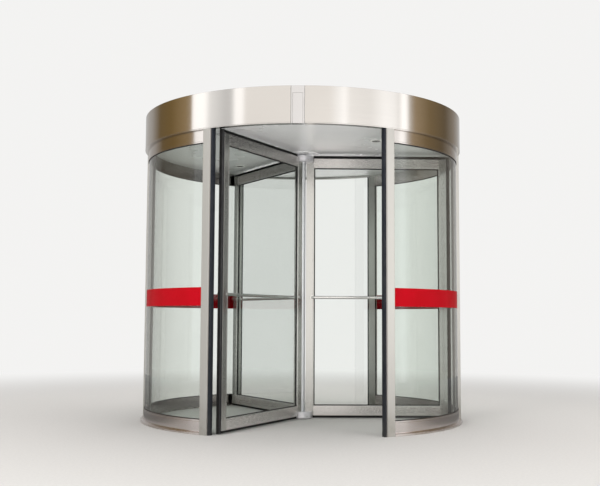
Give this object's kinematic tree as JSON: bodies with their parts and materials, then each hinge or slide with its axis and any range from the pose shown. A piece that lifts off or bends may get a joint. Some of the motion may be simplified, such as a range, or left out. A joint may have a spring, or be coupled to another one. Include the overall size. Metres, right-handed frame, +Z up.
{
  "type": "revolving door",
  "caption": "Manual revolving door: glazed wings on a central shaft in a round drum of curved glass, posts and a steel canopy.",
  "frame": {"origin": "on the floor at the centre of the drum, on the axis of the rotor", "axes": "+Z up, +Y into the building through the drum, +X to the right as seen from the street"},
  "size_m": [2.7, 2.7, 2.535],
  "materials": {
    "curved_glass": "clear laminated glass with a light green tint",
    "wing_glass": "clear toughened glass with a light green tint",
    "wing_steel": "satin brushed stainless cladding",
    "bar_steel": "polished stainless tube",
    "fascia_steel": "brushed stainless sheet, grain along the ring",
    "rail_steel": "brushed stainless sheet",
    "post_steel": "brushed stainless sheet, grain along the post",
    "trim_steel": "bright satin trim plate",
    "hub_steel": "turned stainless steel",
    "bearing_steel": "dark painted steel",
    "ceiling_panel": "pale satin metal panel",
    "roof_panel": "grey painted sheet",
    "light_trim": "white painted trim",
    "brush": "black nylon bristles in a clamping strip",
    "rubber": "black moulded rubber"
  },
  "bodies": {
    "drum": {"canopy_roof": "roof_panel", "ceiling": "ceiling_panel", "ceiling_downlights": "light_trim", "ceiling_rosette": "trim_steel", "curved_glass_front_left": "curved_glass", "curved_glass_front_right": "curved_glass", "curved_glass_rear_left": "curved_glass", "curved_glass_rear_right": "curved_glass", "fascia_joint_room": "fascia_steel", "fascia_joint_street": "fascia_steel", "fascia_left": "fascia_steel", "fascia_right": "fascia_steel", "floor_bearing": "bearing_steel", "head_rail_front_left": "rail_steel", "head_rail_front_right": "rail_steel", "head_rail_rear_left": "rail_steel", "head_rail_rear_right": "rail_steel", "kick_plate_front_left": "rail_steel", "kick_plate_front_right": "rail_steel", "kick_plate_rear_left": "rail_steel", "kick_plate_rear_right": "rail_steel", "mid_post_left": "post_steel", "mid_post_right": "post_steel", "mouth_post_front_left": "post_steel", "mouth_post_front_right": "post_steel", "mouth_post_rear_left": "post_steel", "mouth_post_rear_right": "post_steel", "safety_edge_front_left": "rubber", "safety_edge_front_right": "rubber", "safety_edge_rear_left": "rubber", "safety_edge_rear_right": "rubber", "top_bearing": "bearing_steel"},
    "rotor": {"lower_hub": "hub_steel", "shaft": "hub_steel", "upper_hub": "hub_steel", "wing_1_brushes": "brush", "wing_1_frame": "wing_steel", "wing_1_glass": "wing_glass", "wing_1_push_bar": "bar_steel", "wing_2_brushes": "brush", "wing_2_frame": "wing_steel", "wing_2_glass": "wing_glass", "wing_2_push_bar": "bar_steel", "wing_3_brushes": "brush", "wing_3_frame": "wing_steel", "wing_3_glass": "wing_glass", "wing_3_push_bar": "bar_steel"}
  },
  "joints": [
    {"name": "rotor_turn", "type": "hinge", "parent": "drum", "child": "rotor", "pos_m": [0, 0, 1.1], "axis": [0, 0, 1], "continuous": true}
  ]
}
